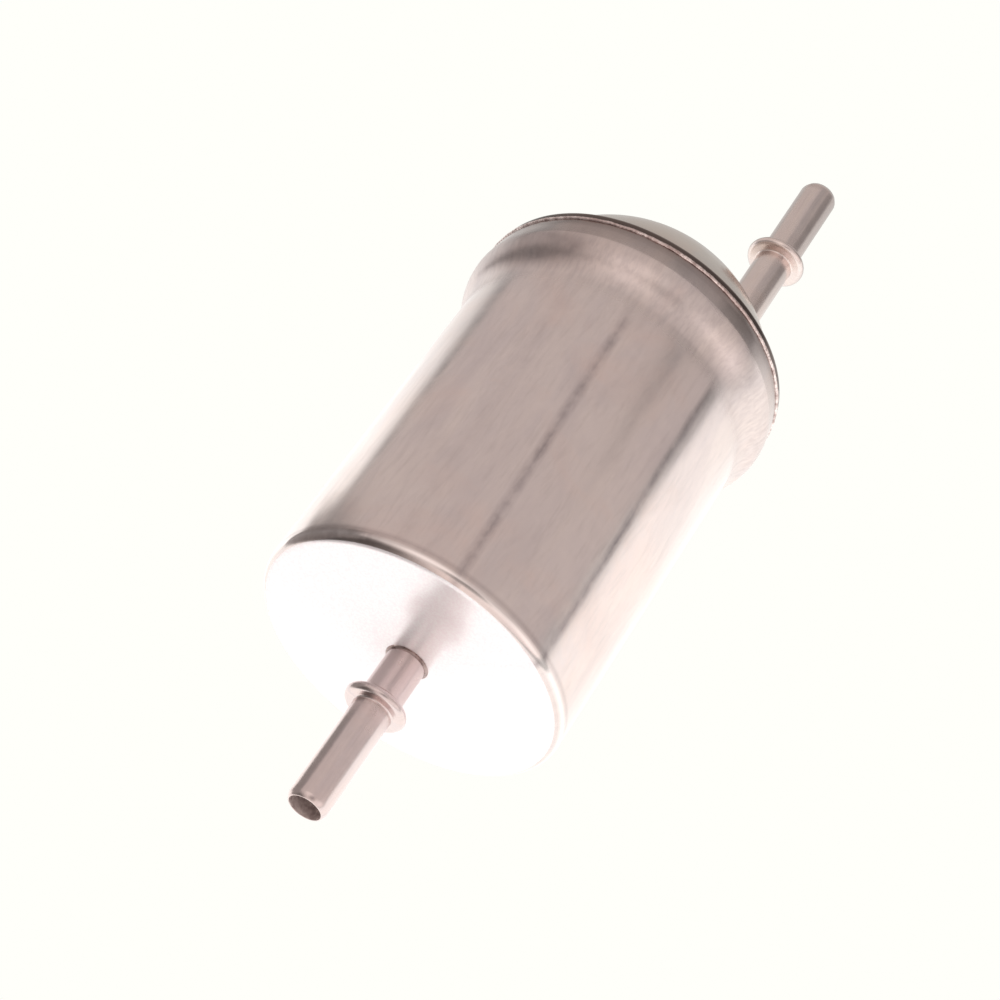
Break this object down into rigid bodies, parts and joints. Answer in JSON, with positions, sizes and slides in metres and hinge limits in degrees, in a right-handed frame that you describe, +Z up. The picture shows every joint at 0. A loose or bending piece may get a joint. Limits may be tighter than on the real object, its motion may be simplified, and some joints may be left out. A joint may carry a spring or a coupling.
{
  "type": "fuel filter",
  "caption": "In-line fuel filter: a welded steel can with a flared mouth and domed cover, a beaded quick-connect spigot at each end, and a pleated paper element inside.",
  "frame": {"origin": "on the can's axis, in the middle of the straight wall that the bracket clamps", "axes": "+Y along the can's axis from the inlet towards the outlet, +X towards the offset outlet spigot, +Z up"},
  "size_m": [0.0684, 0.1854, 0.0684],
  "materials": {
    "can_steel": "satin, drawn lengthwise",
    "cover_steel": "satin, pressed",
    "weld": "rippled weld bead",
    "tube_steel": "satin tube",
    "braze": "smooth braze fillet",
    "spring_steel": "bright rolled strip",
    "tinplate": "tin plated",
    "potting": "cured adhesive",
    "paper": "resin-treated paper",
    "band": "woven tape",
    "mesh": "fine woven mesh",
    "fuel_rubber": "moulded rubber"
  },
  "bodies": {
    "root": {"can_shell": "can_steel", "rear_cover": "cover_steel", "seam_weld": "weld", "inlet_spigot": "tube_steel", "inlet_braze": "braze", "outlet_spigot": "tube_steel", "outlet_braze": "braze", "element_spring": "spring_steel", "inlet_end_cap": "tinplate", "inlet_end_bond": "potting", "filter_paper": "paper", "paper_seam_clip": "tinplate", "pleat_bands": "band", "centre_tube": "tinplate", "lint_strainer": "mesh", "outlet_end_bond": "potting", "outlet_end_cap": "tinplate", "element_grommet": "fuel_rubber", "support_plate": "tinplate", "seat_gasket": "fuel_rubber"}
  },
  "joints": []
}
